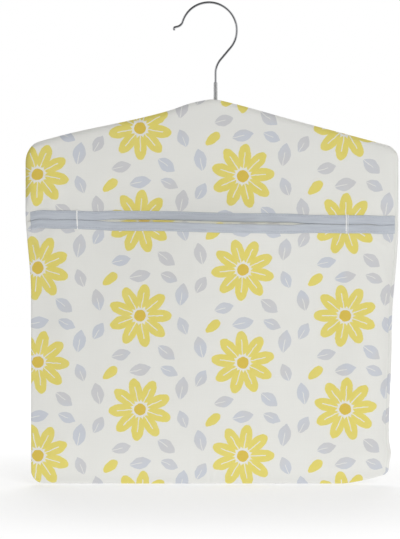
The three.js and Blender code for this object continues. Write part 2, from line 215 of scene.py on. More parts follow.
# Soft forms of the cloth
HANGER_ROLL = 8 * mm  # the cloth turns over the hanger's ends and top edge this tightly
TOP_ROLL = 7 * mm
SEAM_FOLD = 1.6 * mm
SIDE_SPREAD = 34 * mm  # below the hanger the cloth fills out this slowly from the side seams
BOTTOM_SPREAD = 40 * mm
SEAM_FOLD_SHARE = 0.2
HANGER_ENDS_Z = -83 * mm  # the hanger's lowest place in the bag, when the bag is lifted
HANGER_CLEAR_Z = -104 * mm
HANGER_DEPTHS = 26 * mm, 16 * mm  # at the shank and at the ends
LIFT_ROOM = 21 * mm  # the cloth stays clear of the hanger this far below it, for the bag to be lifted
HANGER_TOP_Z = HANGER_HIGH.z - PEAK_Z
SLACK_BELOW_HANGER = 1.1 * mm
SLACK_SPREAD = 14 * mm
PUCKER = 0.22 * mm
PUCKER_PITCH = 6.5 * mm
PUCKER_REACH = 3 * mm
PUCKER_WANDER, PUCKER_WANDER_LENGTH = 1.6, 23 * mm  # the gathers' spacing varies
PUCKER_LEVEL, PUCKER_SWELL, PUCKER_SWELL_LENGTH = 0.6, 0.4, 41 * mm  # and so does their height
RIPPLE = 0.28 * mm
RIPPLE_WAVES = 7
RIPPLE_LENGTH = 42 * mm
RIPPLE_SPREAD = 0.7, 1.5  # the waves' lengths, as shares of that length
CALM_BY_SEAMS, CALM_BY_HANGER = 12 * mm, 6 * mm  # the unevenness fades out over these lengths
LEAST_SHARE = 1e-3
FRONT_SEED, BACK_SEED = 3, 8

# Soft folds: x, z, direction in degrees, half length, half width and height, in mm from the bag's peak
YOKE_FOLDS = [
    (-139, -82, 62, 26, 6, 0.9),
    (-150, -92, 80, 14, 4, -0.6),
    (142, -84, 116, 24, 6, 0.8),
    (-60, -78, 12, 40, 9, 0.5),
    (70, -80, 168, 44, 9, 0.5),
    (-121, -96, 90, 8, 3, 0.5),
    (121, -96, 90, 8, 3, 0.5),
]
POCKET_FOLDS = [
    (155, -128, -40, 13, 4.5, 1.5),
    (148, -140, -58, 22, 5, -0.9),
    (-162, -120, 72, 7, 2.6, 1.0),
    (-150, -132, 48, 18, 5, 0.9),
    (-121, -125, 90, 9, 3, 0.6),
    (-112, -140, 118, 22, 5, 0.6),
    (121, -127, 90, 9, 3, 0.6),
    (111, -142, 62, 24, 5, 0.6),
    (-96, -232, 87, 75, 15, 1.0),
    (-34, -262, 93, 60, 17, -0.8),
    (52, -236, 85, 80, 16, 0.9),
    (112, -262, 97, 62, 13, -0.9),
    (139, -214, 88, 60, 10, 0.7),
    (-138, -250, 92, 64, 11, -0.7),
    (132, -322, 24, 26, 7, 1.0),
]
BACK_FOLDS = [
    (-120, -110, 74, 52, 9, 1.0),
    (118, -116, 104, 56, 10, 1.0),
    (-52, -205, 86, 95, 17, 1.0),
    (30, -220, 92, 90, 16, -0.9),
    (98, -250, 88, 72, 14, 0.9),
    (-112, -262, 94, 64, 13, -0.8),
    (0, -92, 2, 90, 10, 0.5),
    (-128, -318, -32, 26, 7, 0.9),
]


def ripple(x, z, seed):
    """A gentle unevenness of the cloth: waves in a few directions."""
    draw = np.random.default_rng(seed)
    total = np.zeros(np.broadcast(x, z).shape)
    for _ in range(RIPPLE_WAVES):
        angle, phase = draw.uniform(0, np.pi), draw.uniform(0, 2 * np.pi)
        length = RIPPLE_LENGTH * draw.uniform(*RIPPLE_SPREAD)
        total += np.sin(2 * np.pi * (x * math.cos(angle) + z * math.sin(angle)) / length + phase)
    return total / math.sqrt(RIPPLE_WAVES)


def fold_height(x, z, folds):
    total = np.zeros(np.broadcast(x, z).shape)
    for centre_x, centre_z, direction, half_length, half_breadth, height in folds:
        along, across = turned(x / mm, z / mm, centre_x, centre_z, direction)
        total += height * mm * np.exp(-((along / half_length) ** 2) - (across / half_breadth) ** 2)
    return total


def pucker(along, distance):
    """Small gathers beside a row of stitching."""
    reach = np.maximum(distance, 0) / PUCKER_REACH
    wander = PUCKER_WANDER * np.sin(along / PUCKER_WANDER_LENGTH)
    wave = np.sin(2 * np.pi * along / PUCKER_PITCH + wander)
    strength = PUCKER_LEVEL + PUCKER_SWELL * np.sin(along / PUCKER_SWELL_LENGTH + 1)
    return PUCKER * strength * wave * reach * np.exp(1 - reach)


def soft_edge(distance, spread):
    fold = SEAM_FOLD_SHARE * rolled(distance, SEAM_FOLD)
    return fold + (1 - SEAM_FOLD_SHARE) * smooth(distance / spread)


def cloth_depth(u, z, folds, seed):
    """From the bag's mid-plane to the inside of the front or back cloth."""
    x = u * half_width(u, z)
    side = half_width(u, z) * (1 - np.abs(u))
    top = top_edge(u) - z
    bottom = z - bottom_edge(u)
    by_hanger = eased(z, HANGER_CLEAR_Z, HANGER_ENDS_Z)
    side_share = mix(soft_edge(side, SIDE_SPREAD), rolled(side, HANGER_ROLL), by_hanger)
    shares = [side_share, rolled(top, TOP_ROLL), soft_edge(bottom, BOTTOM_SPREAD)]
    narrowing = [np.maximum(share, LEAST_SHARE) ** -2 - 1 for share in shares]
    fullness = (1 + sum(narrowing)) ** -0.5
    from_hook = np.clip((x - BAG_SLIP) / (HOOK_OPENING / 2), -1, 1)
    open_seam = np.where(z > MOUTH_Z, HOOK_PARTING * np.cos(from_hook * np.pi / 2) ** 2, 0)
    hanger_depth = mix(*HANGER_DEPTHS, np.clip(np.abs(x - BAG_SLIP) / HALF_TOP, 0, 1))
    hanger_foot = HANGER_TOP_Z + shoulder(x - BAG_SLIP) - hanger_depth - LIFT_ROOM
    slack = SLACK_BELOW_HANGER * smooth((hanger_foot - z) / SLACK_SPREAD)
    parting = mix(SEAM_PARTING, CREST_PARTING, by_hanger) + open_seam
    depth = mix(parting, PLATEAU - slack, fullness)
    calm = smooth(np.minimum(side, bottom) / CALM_BY_SEAMS) * smooth((hanger_foot - z) / CALM_BY_HANGER)
    unevenness = fold_height(x, z, folds) + RIPPLE * ripple(x, z, seed)
    gathers = pucker(z, side) + pucker(x, bottom) + pucker(x, top)
    return depth + unevenness * calm + gathers


def gape(u, z):
    """How far the front stands out between the bar tacks, most at its lips."""
    across = np.clip(u * half_width(u, z) / TACK_X, -1, 1)
    height = np.clip((z + BAG_HEIGHT) / (BAG_HEIGHT + MOUTH_Z), 0, None)
    upper_lip = hump(z, MOUTH_Z, FLARE_REACH, FLARE)
    return np.where(z < MOUTH_Z, GAPE * height, upper_lip) * np.cos(across * np.pi / 2) ** 2


def lip_closing(x):
    """How far a lip comes across the gap: not at all in the middle of the mouth, and most near its ends."""
    opened = smooth((x - OPEN_FROM) / OPENING_EASE) * smooth((OPEN_TO - x) / OPENING_EASE)
    return LIP_CLOSING * (1 - opened)


def mouth_shift(x, z):
    """The mouth runs slightly downhill, and its lips meet in small waves outside the bar tacks."""
    height = z - MOUTH_Z
    line = MOUTH_DROP + MOUTH_TILT * x / HALF_TOP
    for rise, *span in MOUTH_STEPS:
        line = line + rise * eased(x, *span)
    closing = -np.clip(height / HALF_GAP, -1, 1) * lip_closing(x)
    long_wave, short_wave = (np.sin(x / length) for length in LIP_WAVE_LENGTHS)
    wave = LIP_WAVE * smooth((np.abs(x) - TACK_X) / LIP_WAVE_EASE) * (long_wave + short_wave / 2)
    shifts = (line, TILT_REACH), (closing, CLOSING_REACH), (wave, WAVE_REACH)
    return sum(hump(height, 0, reach, most) for most, reach in shifts)


def seam_groove(u, z):
    from_seam = half_width(u, z) * (1 - u) - SEAM_ROLL
    return hump(from_seam, 0, SEAM_GROOVE_HALF, SEAM_GROOVE)


def front_point(u, z, outwards, folds):
    """Points on a surface outwards from the inside of the front cloth."""
    x = u * half_width(u, z)
    y = -cloth_depth(u, z, folds, FRONT_SEED) - gape(u, z) - outwards + seam_groove(u, z)
    return bag_points(x, y, z + mouth_shift(x, z))


def round_the_edge(u):
    """The back cloth's u goes on past 1, where the cloth comes round the right edge to the seam."""
    return np.where(u > 1, 2 - u, u)


def back_point(u, z):
    """Points of the back cloth's middle surface."""
    inside = round_the_edge(u)
    x = inside * half_width(inside, z)
    behind = cloth_depth(inside, z, BACK_FOLDS, BACK_SEED) + CLOTH / 2
    in_front = seam_groove(inside, z) - cloth_depth(inside, z, POCKET_FOLDS, FRONT_SEED) - CLOTH / 2
    return bag_points(x, np.where(u > 1, in_front, behind), z)


# Meshes
SHARP = math.radians(66)  # edges that turn more than this aren't shaded round
ASKEW = 0.31, 0.87, 0.38  # a direction that no tube starts along


def placed(name, data):
    """A new object in the scene."""
    thing = bpy.data.objects.new(name, data)
    bpy.context.scene.collection.objects.link(thing)
    return thing


def quads(*corners):
    """Faces from the numbers of their first, second, third and fourth corners."""
    return np.stack(corners, axis=-1).reshape(-1, 4).tolist()


def unit(vectors):
    return vectors / np.linalg.norm(vectors, axis=-1, keepdims=True)


def lengths_along(points):
    """How far each point is from the first, along the line through them."""
    steps = np.linalg.norm(np.diff(points, axis=0), axis=1)
    return np.concatenate([[0], np.cumsum(steps)])


class Shape:
    """Collects the faces of one piece, with their UVs and materials."""

    def __init__(self):
        self.points, self.faces, self.uvs, self.slots = [], [], [], []
        self.count = 0

    def add(self, points, uvs, faces, slot=0):
        self.points.append(np.reshape(points, (-1, 3)))
        self.uvs.append(np.reshape(uvs, (-1, 2)))
        self.faces.extend([tuple(self.count + k for k in face) for face in faces])
        self.slots.extend(np.broadcast_to(slot, len(faces)).tolist())
        self.count += len(self.points[-1])

    def sheet(self, middle, uv, thickness, outside=0, inside=0, flip=False):
        """A bent sheet with thickness. middle[column, row] are points of its middle surface.

        outside is a material slot, or a slot for each step from column to column.
        """
        normal = unit(np.cross(np.gradient(middle, axis=0), np.gradient(middle, axis=1)))
        half = normal * thickness / (-2 if flip else 2)
        columns, rows = middle.shape[:2]
        front, back = np.arange(2 * columns * rows).reshape(2, columns, rows)
        front_faces = quads(front[:-1, :-1], front[1:, :-1], front[1:, 1:], front[:-1, 1:])
        back_faces = quads(back[:-1, 1:], back[1:, 1:], back[1:, :-1], back[:-1, :-1])
        rim = quads(back[:-1, 0], back[1:, 0], front[1:, 0], front[:-1, 0])
        rim += quads(front[:-1, -1], front[1:, -1], back[1:, -1], back[:-1, -1])
        rim += quads(front[0, :-1], front[0, 1:], back[0, 1:], back[0, :-1])
        rim += quads(back[-1, :-1], back[-1, 1:], front[-1, 1:], front[-1, :-1])
        faces = front_faces + rim + back_faces
        if flip:
            faces = [face[::-1] for face in faces]
        slots = np.broadcast_to(outside, columns - 1).repeat(rows - 1).tolist()
        slots += [slots[0]] * len(rim) + [inside] * len(back_faces)
        self.add(np.concatenate([middle + half, middle - half]), np.concatenate([uv, uv]), faces, slots)

    def tube(self, path, radius, sides, slot=0):
        """A round tube along a path, with closed ends."""
        tangent = unit(np.gradient(path, axis=0))
        side = np.cross(tangent[0], ASKEW)
        sweep = np.linspace(0, 2 * np.pi, sides, endpoint=False)
        rings = []
        for point, direction, size in zip(path, tangent, np.broadcast_to(radius, len(path))):
            side = unit(side - direction * side.dot(direction))
            other = np.cross(direction, side)
            rings.append(point + size * (np.outer(np.cos(sweep), side) + np.outer(np.sin(sweep), other)))
        uv = stacked(lengths_along(path)[:, None], sweep / (2 * np.pi))
        ring = np.arange(len(path) * sides).reshape(-1, sides)
        after = np.roll(ring, -1, axis=1)
        ends = [ring[0, ::-1].tolist(), ring[-1].tolist()]
        self.add(rings, uv, quads(ring[:-1], after[:-1], after[1:], ring[1:]) + ends, slot)

    def lathe(self, profile, centre_x, sides):
        """A closed profile of (radius, z) corners turned about an upright axis."""
        radius, height = np.transpose(profile)[..., None]
        sweep = np.linspace(0, 2 * np.pi, sides, endpoint=False)
        points = stacked(centre_x + radius * np.cos(sweep), radius * np.sin(sweep), height)
        ring = np.arange(len(profile) * sides).reshape(-1, sides)
        after = np.roll(ring, -1, axis=1)
        faces = quads(ring, after, np.roll(after, -1, axis=0), np.roll(ring, -1, axis=0))
        self.add(points, stacked(height, sweep / (2 * np.pi)), faces)

    def build(self, name, *materials):
        mesh = bpy.data.meshes.new(name)
        mesh.from_pydata(np.concatenate(self.points).tolist(), [], self.faces)
        for material in materials:
            mesh.materials.append(material)
        mesh.polygons.foreach_set("material_index", self.slots)
        mesh.polygons.foreach_set("use_smooth", [True] * len(self.faces))
        mesh.set_sharp_from_angle(angle=SHARP)
        corner_vertex = np.zeros(len(mesh.loops), int)
        mesh.loops.foreach_get("vertex_index", corner_vertex)
        layer = mesh.uv_layers.new(name="cloth")
        layer.data.foreach_set("uv", np.concatenate(self.uvs)[corner_vertex].ravel())
        mesh.validate()
        return placed(name, mesh)


# Shader graphs
class Field:
    """A number or colour that varies over a surface, with the arithmetic of math nodes."""

    def __init__(self, graph, socket):
        self.graph, self.socket = graph, socket

    def __rsub__(self, other):
        return self.graph.math("SUBTRACT", other, self)

    def step(self, low, high):
        """0 below low, 1 above high and smooth between them."""
        return self.graph.field("Result", "MapRange", self, low, high, interpolation_type="SMOOTHSTEP")


def math_method(operation):
    return lambda field, *others: field.graph.math(operation, field, *others)


FIELD_METHODS = {
    "__add__": "ADD",
    "__sub__": "SUBTRACT",
    "__mul__": "MULTIPLY",
    "__truediv__": "DIVIDE",
    "wrapped": "FLOORED_MODULO",
    "floor": "FLOOR",
    "sin": "SINE",
    "cos": "COSINE",
    "abs": "ABSOLUTE",
    "sqrt": "SQRT",
    "most": "MAXIMUM",
}
for method, operation in FIELD_METHODS.items():
    setattr(Field, method, math_method(operation))


class Nodes:
    """A node tree under construction."""

    def __init__(self, tree):
        self.tree = tree

    def join(self, socket, value):
        """Links a field or another node's socket, or sets a value. None leaves the socket as it is."""
        if isinstance(value, Field):
            value = value.socket
        if isinstance(value, bpy.types.NodeSocket):
            self.tree.links.new(value, socket)
        elif value is not None:
            socket.default_value = value

    def add(self, kind, *inputs, **settings):
        """A new node with its inputs in order."""
        node = self.tree.nodes.new("ShaderNode" + kind)
        for key, value in settings.items():
            setattr(node, key, value)
        for socket, value in zip(node.inputs, inputs):
            self.join(socket, value)
        return node

    def either(self, first, second):
        return self.add("Math", first, second, operation="MAXIMUM").outputs[0]

    def choose(self, share, first, second):
        """The first value where share is 0, and the second where it is 1."""
        return self.add("Mix", share, None, first, second, data_type="FLOAT").outputs["Result"]

    def ranged(self, value, *span, kind="LINEAR"):
        """span is where the value starts and ends, and what comes out there."""
        return self.add("MapRange", value, *span, interpolation_type=kind).outputs["Result"]


class Graph(Nodes):
    """A material's nodes, round one Principled shader."""

    def __init__(self, name, roughness=0.5, metallic=0.0, sheen=0.0, specular=0.5):
        self.material = bpy.data.materials.new(name)
        self.material.use_nodes = True
        super().__init__(self.material.node_tree)
        self.shader = self.tree.nodes["Principled BSDF"]
        self.set("Roughness", roughness)
        self.set("Metallic", metallic)
        self.set("Sheen Weight", sheen)
        self.set("Specular IOR Level", specular)

    def set(self, name, value):
        self.join(self.shader.inputs[name], value)

    def field(self, output, kind, *inputs, **settings):
        """One output of a new node."""
        return Field(self, self.add(kind, *inputs, **settings).outputs[output])

    def math(self, operation, *values):
        return self.field("Value", "Math", *values, operation=operation)

    def millimetres(self, place, axes):
        parts = self.add("SeparateXYZ", place).outputs
        return [Field(self, parts[axis]) * 1000 for axis in axes]

    def cloth_place(self):
        return self.millimetres(self.add("UVMap", uv_map="cloth").outputs["UV"], "XY")

    def object_place(self):
        return self.millimetres(self.add("TexCoord").outputs["Object"], "XYZ")

    def point(self, x, y, z=0.0):
        return self.field("Vector", "CombineXYZ", x, y, z)

    def noise(self, x, y, z=0.0, detail=2.0):
        """Noise of scale 1 at a point."""
        return self.field("Fac", "TexNoise", self.point(x, y, z), None, 1, detail)

    def chance(self, x, y):
        return self.field("Value", "TexWhiteNoise", self.point(x, y), noise_dimensions="2D")

    def blend(self, share, first, second):
        node = self.add("Mix", data_type="RGBA")
        for socket, value in zip([s for s in node.inputs if s.enabled], (share, first, second)):
            self.join(socket, value)
        return Field(self, next(s for s in node.outputs if s.enabled))

    def let_light_through(self, share, tone):
        """Thin cloth: a share of what it shows is light from behind."""
        through = self.add("BsdfTranslucent", tone).outputs[0]
        both = self.add("MixShader", share, self.shader.outputs[0], through).outputs[0]
        self.join(self.tree.nodes["Material Output"].inputs["Surface"], both)

    def bump(self, height, distance):
        node = self.add("Bump")
        self.join(node.inputs["Height"], height)
        self.join(node.inputs["Distance"], distance)
        self.set("Normal", node.outputs["Normal"])


def colour(red, green, blue):
    """A screen colour of 0 to 255 a channel as a shader's linear one."""

    def linear(value):
        value /= 255
        return value / 12.92 if value <= 0.04045 else ((value + 0.055) / 1.055) ** 2.4

    return linear(red), linear(green), linear(blue), 1.0


COTTON = colour(234, 234, 230)
COTTON_SHADE = colour(227, 227, 222)
PRINT_YELLOW = colour(230, 217, 117)
PRINT_OCHRE = colour(222, 196, 90)
PRINT_GREY = colour(209, 209, 211)
PRINT_BLUE_GREY = colour(206, 210, 218)
LIGHT_THROUGH = 0.18
BACK_LIGHT_THROUGH = 0.64  # enough for the cloth inside the mouth to look bright

# Print: a half-drop repeat of a daisy with leaves and a bud, in mm
REPEAT = 92, 84
DAISY_RADIUS = 28.5
DAISY_PETALS = 9
PETAL_CENTRE = 0.62 * DAISY_RADIUS
PETAL_LENGTH, PETAL_BREADTH = 0.38 * DAISY_RADIUS, 0.2 * DAISY_RADIUS  # from a petal's middle
PETAL_LINE = 0.25, 0.6  # from the middle of a petal's bare line to the ink
PETAL_LINE_END = 0.72 * DAISY_RADIUS, 0.74 * DAISY_RADIUS
EYE_RADIUS = 0.2 * DAISY_RADIUS
EYE_RING = 0.9  # width of the bare ring round the eye
# Leaves: place in the repeat, direction in degrees, half length and half width
LEAVES = [
    (0, 35.5, 12, 10, 5.4),
    (23.5, -33, -38, 9.5, 5.6),
    (-17, -35, 14, 9, 5),
    (37.5, 19, 80, 10.5, 5.8),
    (38.5, -9, 112, 8.5, 5),
    (-38, 14, 102, 10, 5.6),
    (-37.5, -14, 60, 8.5, 5),
    (26, 34.5, -24, 8.5, 4.8),
]
BUD = -27, 32.5, 40, 8, 4.6
VEIN, VEIN_END = (0.03, 0.09), (0.05, 0.25)  # shares of a leaf's half width and half length
EGG_TAPER, EGG_BREADTH = 0.2, 0.9
EDGE_SOFTNESS = 0.22
WOBBLE = 1.6  # an edge wanders to either side by up to half of this


def along_and_across(x, y, place):
    """A motif's own coordinates, as shares of its half length and half width."""
    *centre_and_direction, half_length, half_breadth = place
    along, across = turned(x, y, *centre_and_direction)
    return along / half_length, across.abs() / half_breadth


def length_of(x, y):
    return (x * x + y * y).sqrt()


def leaf_mark(x, y, leaf):
    """1 inside a pointed leaf, apart from the vein along its lower half."""
    along, across = along_and_across(x, y, leaf)
    softness = EDGE_SOFTNESS / leaf[4]
    vein = across.step(*VEIN).most(along.step(*VEIN_END))
    return (1 - along * along - across).step(-softness, softness) * vein


def bud_mark(x, y, bud):
    """1 inside an egg shape."""
    along, across = along_and_across(x, y, bud)
    across = across / (along * EGG_TAPER + EGG_BREADTH)
    softness = EDGE_SOFTNESS / bud[4]
    return (1 - length_of(along, across)).step(-softness, softness)


def add_print(graph, x, y, ground, strength):
    """The ground colour with the print on it. strength is 1 on the face and less on the reverse."""
    x = x + (graph.noise(x * 0.22, y * 0.22) - 0.5) * WOBBLE
    y = y + (graph.noise(x * 0.2, y * 0.2, 7.0) - 0.5) * WOBBLE
    column = (x / REPEAT[0]).floor()
    dropped = y + column.wrapped(2) * (REPEAT[1] / 2)
    row = (dropped / REPEAT[1]).floor()
    local_x = x - (column + 0.5) * REPEAT[0]
    local_y = dropped - (row + 0.5) * REPEAT[1]
    turn = graph.chance(column, row)

    grey = functools.reduce(Field.most, [leaf_mark(local_x, local_y, leaf) for leaf in LEAVES])
    bud = bud_mark(local_x, local_y, BUD)

    sector = 2 * math.pi / DAISY_PETALS
    angle = graph.math("ARCTAN2", local_y, local_x) + turn * (2 * math.pi)
    swing = angle.wrapped(sector) - sector / 2
    radius = length_of(local_x, local_y)
    out = radius * swing.cos()
    across = (radius * swing.sin()).abs()
    from_middle = length_of((out - PETAL_CENTRE) / PETAL_LENGTH, across / PETAL_BREADTH)
    petal = ((1 - from_middle) * PETAL_BREADTH).step(-EDGE_SOFTNESS, EDGE_SOFTNESS)
    petal_line = across.step(*PETAL_LINE).most(out.step(*PETAL_LINE_END))
    ring = (radius - EYE_RADIUS - EYE_RING).step(-0.2, 0.3)
    yellow = petal * petal_line * ring
    eye = 1 - radius.step(EYE_RADIUS - 0.6, EYE_RADIUS - 0.2)

    ink = graph.noise(x * 0.11, y * 0.11, 3.0) * 0.16 + 0.9
    patches = graph.noise(x * 0.018, y * 0.02, 5.0).step(0.42, 0.58)
    grey_ink = graph.blend(patches, PRINT_GREY, PRINT_BLUE_GREY)
    tone = graph.blend(grey * ink * strength, ground, grey_ink)
    tone = graph.blend(yellow.most(bud) * ink * strength, tone, PRINT_YELLOW)
    return graph.blend(eye * strength, tone, PRINT_OCHRE)


def add_weave(graph, x, y, pitch, height):
    """Bump of a plain weave, with thicker and thinner yarns."""
    warp = (x * (math.pi / pitch)).sin()
    weft = (y * (math.pi / pitch)).sin()
    crossing = (warp * weft + 1) * 0.5
    slub = graph.noise(x * 0.035, y * 1.7) + graph.noise(x * 1.7, y * 0.035, 4.0)
    graph.bump(crossing * 0.6 + slub * 0.7, height)
    return slub


def printed_cotton(name, strength, through=LIGHT_THROUGH):
    graph = Graph(name, roughness=0.92, sheen=0.06, specular=0.2)
    x, y = graph.cloth_place()
    slub = add_weave(graph, x, y, pitch=0.62, height=0.00007)
    ground = graph.blend((slub - 0.8) * 0.5, COTTON, COTTON_SHADE)
    tone = add_print(graph, x, y, ground, strength)
    graph.set("Base Color", tone)
    graph.let_light_through(through, tone)
    return graph.material


def plain_cotton(name, base, shade, pitch=0.5):
    graph = Graph(name, roughness=0.9, sheen=0.06, specular=0.2)
    x, y = graph.cloth_place()
    slub = add_weave(graph, x, y, pitch, height=0.00006)
    streak = graph.noise(x * 0.06, y * 0.5, 2.0).step(0.3, 0.75)
    tone = graph.blend(streak, base, shade)
    graph.set("Base Color", graph.blend((slub - 0.8) * 0.6, tone, shade))
    return graph.material


def twisted_thread(name, base, shade):
    """Sewing thread: two plies that wind round each other, with painted shade in the grooves between them.
    """
    graph = Graph(name, roughness=0.6, sheen=0.05, specular=0.35)
    along, around = graph.cloth_place()
    ply = ((along * 9) + around * (2 * math.pi * 0.002)).sin()
    # painted shade: the colour goes to the darker one in the grooves between the plies, where the bump is
    # low
    graph.set("Base Color", graph.blend(ply.step(-0.9, 0.6), shade, base))
    graph.bump(ply, 0.00003)
    return graph.material


def drawn_wire(name):
    """Plated wire with the faint lengthwise marks of drawing and small handling scuffs."""
    graph = Graph(name, metallic=1.0)
    along, around = graph.cloth_place()
    marks = graph.noise(along * 0.02, around * 0.006, 1.0, 3.0)
    scuff = graph.noise(along * 0.12, around * 0.003, 9.0, 3.0).step(0.58, 0.74)
    tone = graph.blend(marks.step(0.35, 0.7), colour(188, 189, 192), colour(200, 201, 204))
    graph.set("Base Color", tone)
    graph.set("Roughness", marks * 0.06 + scuff * 0.08 + 0.1)
    graph.bump(marks, 0.000003)
    return graph.material


STEEL_JOINT = 620, 4, 9  # in thousandths of a turn: place, and from its middle to clear steel


def satin_steel(name):
    """Rolled sheet steel with fine brushing and a joint line along it."""
    graph = Graph(name, metallic=1.0)
    along, around = graph.cloth_place()
    brushed = graph.noise(along * 0.12, around * 0.02, 1.0, 4.0)
    place, *edge = STEEL_JOINT
    joint = (around - place).abs().step(*edge)
    tone = graph.blend(brushed, colour(220, 221, 222), colour(230, 231, 232))
    graph.set("Base Color", graph.blend(joint, colour(128, 128, 130), tone))
    graph.set("Roughness", brushed * 0.12 + 0.6)
    graph.bump(joint * 0.8 + brushed * 0.1, 0.00002)
    return graph.material


def waxed_wood(name):
    """Pale turned wood with grain along the hanger's arms."""
    graph = Graph(name, specular=0.4)
    x, y, z = graph.object_place()
    fall = (x - SHANK_X * 1000).abs() * math.tan(SHOULDER_SLOPE) + z
    waver = graph.noise(x * 0.012, y * 0.05, fall * 0.05) * 22
    rings = ((fall + waver + y * 0.6) * 1.05).sin()
    fibre = graph.noise(x * 0.05, y * 2.2, fall * 2.2, 3.0)
    tone = graph.blend(rings.step(-0.4, 1.0), colour(206, 172, 126), colour(188, 148, 100))
    graph.set("Base Color", graph.blend(fibre.step(0.45, 0.8) * 0.5, tone, colour(164, 124, 82)))
    graph.set("Roughness", fibre * 0.3 + 0.38)
    graph.bump(fibre * 0.6 + rings * 0.2, 0.0001)
    return graph.material


FACE = printed_cotton("printed_cotton_face", strength=1.0)
REVERSE = printed_cotton("printed_cotton_reverse", strength=0.3)
BACK_FACE = printed_cotton("printed_cotton_back_face", 1.0, BACK_LIGHT_THROUGH)
BACK_REVERSE = printed_cotton("printed_cotton_back_reverse", 0.3, BACK_LIGHT_THROUGH)
BOUND = plain_cotton("binding_cotton", colour(187, 192, 199), colour(176, 181, 189))
SEAM = plain_cotton("seam_cotton", colour(231, 229, 222), colour(221, 218, 208), pitch=0.62)
# each thread's second colour is painted shade for the grooves between its plies
WHITE_THREAD = twisted_thread("white_thread", colour(252, 252, 251), colour(236, 236, 234))
GREY_THREAD = twisted_thread("grey_thread", colour(178, 184, 194), colour(150, 156, 168))
CHROME = drawn_wire("chromed_wire")
STEEL = satin_steel("plated_steel")
WOOD = waxed_wood("hanger_wood")

# Cloth panels
PITCH = 3.2 * mm
FINE = np.array([0, 0.2, 0.5, 0.9, 1.4, 2.1, 3, 4.2, 5.8, 8]) * mm


def spaced(length, fine_low=True, fine_high=True):
    """Shares from 0 to 1 of a length in even steps, closer together at the fine ends."""
    low = FINE if fine_low else np.zeros(1)
    high = length - FINE[::-1] if fine_high else np.array([length])
    steps = max(round((high[0] - low[-1]) / PITCH), 1)
    middle = np.linspace(low[-1], high[0], steps + 1)
    return np.concatenate([low, middle[1:-1], high]) / length


TO_SEAM = 1 - SEAM_ROLL / HALF_TOP
HALVES = (-1, "left", -spaced(HALF_TOP)[::-1]), (1, "right", spaced(HALF_TOP) * TO_SEAM)
ACROSS = spaced(2 * HALF_TOP) * 2 - 1
NEAR_SEAM = TO_SEAM - FINE[5::-1] / HALF_TOP
FRONT_ACROSS = np.concatenate([ACROSS[ACROSS < NEAR_SEAM[0]], NEAR_SEAM[1:]])
BACK_ACROSS = np.concatenate([ACROSS, np.linspace(1, 2 - TO_SEAM, 7)[1:]])
CUT_BACK = 1.1 * mm  # from a lip to the cloth's cut edge inside its binding
CUT_BACK_EASE = 7 * mm  # at the left side seam the cut edge comes down to the lip over this length
PRINT_SHIFT, BACK_PRINT_SHIFT = (0.018, 0.026), (0.4745, 0.317)


def cloth_panel(name, us, low, high, rows, place, shift=PRINT_SHIFT, flip=False, sides=(FACE, REVERSE)):
    """A panel of printed cloth between a low and a high edge, which are heights at each column."""
    u = us[:, None]
    z = low(u) + (high(u) - low(u)) * rows
    flat = stacked(u * half_width(u, z) + shift[0], z + shift[1])
    outside = np.where(us[1:] > 1, 2, 0)  # what comes round the right edge looks like the front
    shape = Shape()
    shape.sheet(place(u, z), flat, CLOTH, outside, inside=1, flip=flip)
    piece = shape.build(name, *sides)
    return piece


def cut_back(u):
    return CUT_BACK * smooth((1 + u) * HALF_TOP / CUT_BACK_EASE)


def yoke_surface(u, z, outwards=CLOTH / 2):
    return front_point(u, z, outwards, YOKE_FOLDS)


def pocket_surface(u, z, outwards=CLOTH / 2):
    return front_point(u, z, outwards, POCKET_FOLDS)


back = cloth_panel(
    "back_cloth",
    BACK_ACROSS,
    lambda u: bottom_edge(round_the_edge(u)),
    lambda u: top_edge(round_the_edge(u)),
    spaced(BAG_HEIGHT),
    back_point,
    BACK_PRINT_SHIFT,
    flip=True,
    sides=(BACK_FACE, BACK_REVERSE, FACE),
)
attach(back, "bag")
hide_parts("back_panel")

yoke = cloth_panel(
    "yoke_cloth",
    FRONT_ACROSS,
    lambda u: UPPER_LIP + cut_back(u),
    top_edge,
    spaced(-MOUTH_Z, fine_low=False),
    yoke_surface,
)
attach(yoke, "bag")
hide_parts("front_yoke")


FOLLOWS_FROM = 0.25  # share of the way from the middle to a bar tack


def bend_with_pocket(piece, side):
    """Bakes the piece's placement into its mesh. A start at the bar tack and an end towards the middle are
    worked out but not used.
    """
    start = BAG_X + side * TACK_X, 0, 0
    end = BAG_X + side * FOLLOWS_FROM * TACK_X, 0, 0
    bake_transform(piece)


for side, word, us in HALVES:
    half = cloth_panel(
        f"pocket_cloth_{word}",
        us,
        bottom_edge,
        lambda u: LOWER_LIP - cut_back(u),
        spaced(BAG_HEIGHT + MOUTH_Z, fine_high=False),
        pocket_surface,
    )
    bend_with_pocket(half, side)
    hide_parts("front_pocket")

# Bindings: a strip folded round each lip, its outer edge turned under and stitched down
LIP_CLEAR = 0.3 * mm  # between the cloth and its binding
FOLD_RADIUS = CLOTH / 2 + LIP_CLEAR + BINDING_CLOTH / 2
TURNED_EDGE, TURNED_DROP = 0.9 * mm, 0.45 * mm  # how the leg's end rounds down to the cloth
STITCH_INSET = 1.5 * mm
STITCH_PITCH = 2.9 * mm
STITCH_LENGTH = 2.2 * mm
STITCH_THREAD = 0.17 * mm
STITCH_RISE = np.array([-0.22, 0.02, 0.1, 0.02, -0.22]) * mm
PINCH_LENGTH = 3 * mm  # a binding is pressed flat over this length at its two ends
PINCHED = 0.35
MID_PLANE_CLEAR = 0.28 * mm


